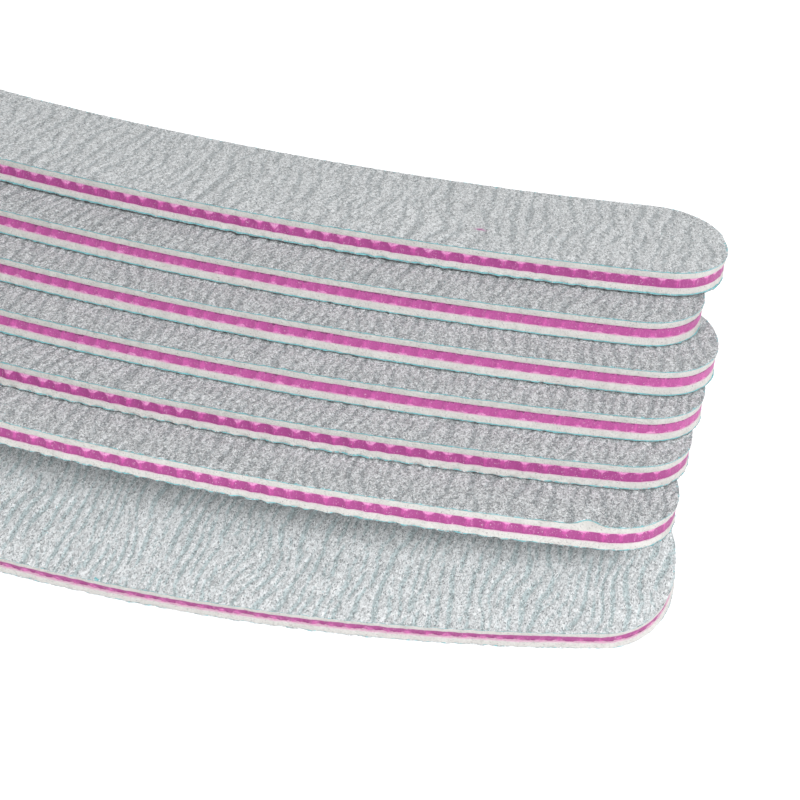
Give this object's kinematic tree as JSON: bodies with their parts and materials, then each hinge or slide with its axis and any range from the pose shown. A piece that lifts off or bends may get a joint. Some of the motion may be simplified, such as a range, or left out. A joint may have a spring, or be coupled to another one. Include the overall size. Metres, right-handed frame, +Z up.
{
  "type": "nail file set",
  "caption": "Leaning pile of curved double-sided nail files: a magenta plastic core between white foam pads, faced on both sides with grey zebra abrasive.",
  "frame": {"origin": "middle of the flat front file's underside, on the table", "axes": "+X along the files, +Y from the flat front file towards the last file at the rear, +Z up"},
  "size_m": [0.1829, 0.0978, 0.0219],
  "materials": {
    "abrasive": "matte",
    "foam": "matte",
    "core": "satin"
  },
  "bodies": {
    "file_1": {"file_1_bottom_abrasive": "abrasive", "file_1_bottom_foam": "foam", "file_1_core": "core", "file_1_top_foam": "foam", "file_1_top_abrasive": "abrasive"},
    "file_2": {"file_2_bottom_abrasive": "abrasive", "file_2_bottom_foam": "foam", "file_2_core": "core", "file_2_top_foam": "foam", "file_2_top_abrasive": "abrasive"},
    "file_3": {"file_3_bottom_abrasive": "abrasive", "file_3_bottom_foam": "foam", "file_3_core": "core", "file_3_top_foam": "foam", "file_3_top_abrasive": "abrasive"},
    "file_4": {"file_4_bottom_abrasive": "abrasive", "file_4_bottom_foam": "foam", "file_4_core": "core", "file_4_top_foam": "foam", "file_4_top_abrasive": "abrasive"},
    "file_5": {"file_5_bottom_abrasive": "abrasive", "file_5_bottom_foam": "foam", "file_5_core": "core", "file_5_top_foam": "foam", "file_5_top_abrasive": "abrasive"},
    "file_6": {"file_6_bottom_abrasive": "abrasive", "file_6_bottom_foam": "foam", "file_6_core": "core", "file_6_top_foam": "foam", "file_6_top_abrasive": "abrasive"},
    "file_7": {"file_7_bottom_abrasive": "abrasive", "file_7_bottom_foam": "foam", "file_7_core": "core", "file_7_top_foam": "foam", "file_7_top_abrasive": "abrasive"}
  },
  "joints": [
    {"name": "file_2_pull", "type": "slide", "parent": "file_1", "child": "file_2", "axis": [1, 0, 0], "range_m": [-0.07, 0.07]},
    {"name": "file_3_pull", "type": "slide", "parent": "file_1", "child": "file_3", "axis": [1, 0, 0], "range_m": [-0.07, 0.07]},
    {"name": "file_4_pull", "type": "slide", "parent": "file_1", "child": "file_4", "axis": [1, 0, 0], "range_m": [-0.07, 0.07]},
    {"name": "file_5_pull", "type": "slide", "parent": "file_1", "child": "file_5", "axis": [1, 0, 0], "range_m": [-0.07, 0.07]},
    {"name": "file_6_pull", "type": "slide", "parent": "file_1", "child": "file_6", "axis": [1, 0, 0], "range_m": [-0.07, 0.07]},
    {"name": "file_7_pull", "type": "slide", "parent": "file_1", "child": "file_7", "axis": [1, 0, 0], "range_m": [-0.07, 0.07]}
  ]
}
